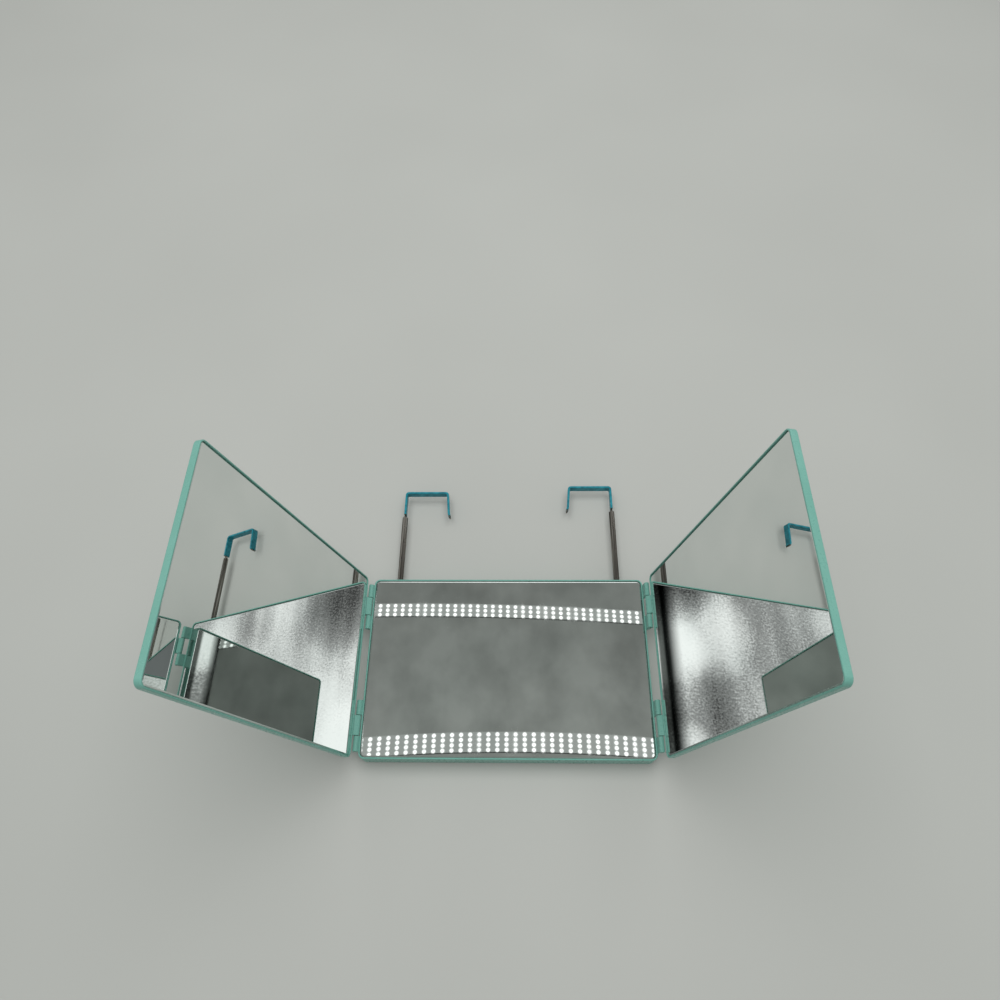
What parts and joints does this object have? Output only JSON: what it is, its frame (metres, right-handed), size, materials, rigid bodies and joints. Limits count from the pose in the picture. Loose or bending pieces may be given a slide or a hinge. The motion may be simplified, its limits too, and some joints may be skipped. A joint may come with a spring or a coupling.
{
  "type": "trifold mirror",
  "caption": "Folding three-panel mirror in slim plastic frames, with hinged wings and telescopic rods that carry swivelling over-door hooks.",
  "frame": {"origin": "middle of the back cover's flat rest face, with the mirror lying on its back", "axes": "+Z out of the centre mirror, +Y up the panel towards the hooks, +X across the panels to the right of a viewer"},
  "size_m": [0.3654, 0.2535, 0.261],
  "materials": {
    "mint_plastic": "moulded ABS, semi-gloss, mint green",
    "mirror_glass": "silvered float glass",
    "adhesive_foam": "matte foam tape",
    "zinc_steel": "zinc-plated",
    "dark_steel": "drawn stainless tube and strip, dull",
    "nylon": "moulded nylon",
    "turquoise_sleeve": "soft dipped sleeve, satin"
  },
  "bodies": {
    "housing": {"centre_frame": "mint_plastic", "back_cover": "mint_plastic", "centre_mirror": "mirror_glass", "centre_adhesive": "adhesive_foam", "cover_screw_1": "zinc_steel", "cover_screw_2": "zinc_steel", "cover_screw_3": "zinc_steel", "cover_screw_4": "zinc_steel", "cover_screw_5": "zinc_steel", "cover_screw_6": "zinc_steel", "left_bottom_hinge_pin": "zinc_steel", "left_top_hinge_pin": "zinc_steel", "right_bottom_hinge_pin": "zinc_steel", "right_top_hinge_pin": "zinc_steel", "left_outer_tube": "dark_steel", "right_outer_tube": "dark_steel", "left_tube_guide": "nylon", "right_tube_guide": "nylon"},
    "left_wing": {"left_wing_frame": "mint_plastic", "left_wing_mirror": "mirror_glass", "left_wing_adhesive": "adhesive_foam"},
    "right_wing": {"right_wing_frame": "mint_plastic", "right_wing_mirror": "mirror_glass", "right_wing_adhesive": "adhesive_foam"},
    "left_middle": {"left_middle_tube": "dark_steel", "left_middle_bush": "nylon"},
    "right_middle": {"right_middle_tube": "dark_steel", "right_middle_bush": "nylon"},
    "left_inner": {"left_inner_rod": "dark_steel", "left_inner_bush": "nylon"},
    "right_inner": {"right_inner_rod": "dark_steel", "right_inner_bush": "nylon"},
    "left_hook": {"left_hook": "dark_steel", "left_hook_sleeve": "turquoise_sleeve"},
    "right_hook": {"right_hook": "dark_steel", "right_hook_sleeve": "turquoise_sleeve"}
  },
  "joints": [
    {"name": "left_wing_fold", "type": "hinge", "parent": "housing", "child": "left_wing", "pos_m": [-0.1226, 0, 0.0178], "axis": [0, 1, 0], "range_deg": [-74.9, 105.1]},
    {"name": "right_wing_fold", "type": "hinge", "parent": "housing", "child": "right_wing", "pos_m": [0.1226, 0, 0.0235], "axis": [0, -1, 0], "range_deg": [-79.2, 100.8]},
    {"name": "left_rod_slide", "type": "slide", "parent": "housing", "child": "left_middle", "axis": [0, 1, 0], "range_m": [-0.064, 0.058]},
    {"name": "right_rod_slide", "type": "slide", "parent": "housing", "child": "right_middle", "axis": [0, 1, 0], "range_m": [-0.07, 0.052]},
    {"name": "left_inner_slide", "type": "slide", "parent": "left_middle", "child": "left_inner", "axis": [0, 1, 0], "range_m": [0, 0.118]},
    {"name": "right_inner_slide", "type": "slide", "parent": "right_middle", "child": "right_inner", "axis": [0, 1, 0], "range_m": [0, 0.118]},
    {"name": "left_hook_swivel", "type": "hinge", "parent": "left_inner", "child": "left_hook", "pos_m": [-0.0986, 0.1436, 0.0095], "axis": [0, 1, 0], "continuous": true},
    {"name": "right_hook_swivel", "type": "hinge", "parent": "right_inner", "child": "right_hook", "pos_m": [0.0986, 0.1498, 0.0095], "axis": [0, -1, 0], "continuous": true}
  ]
}
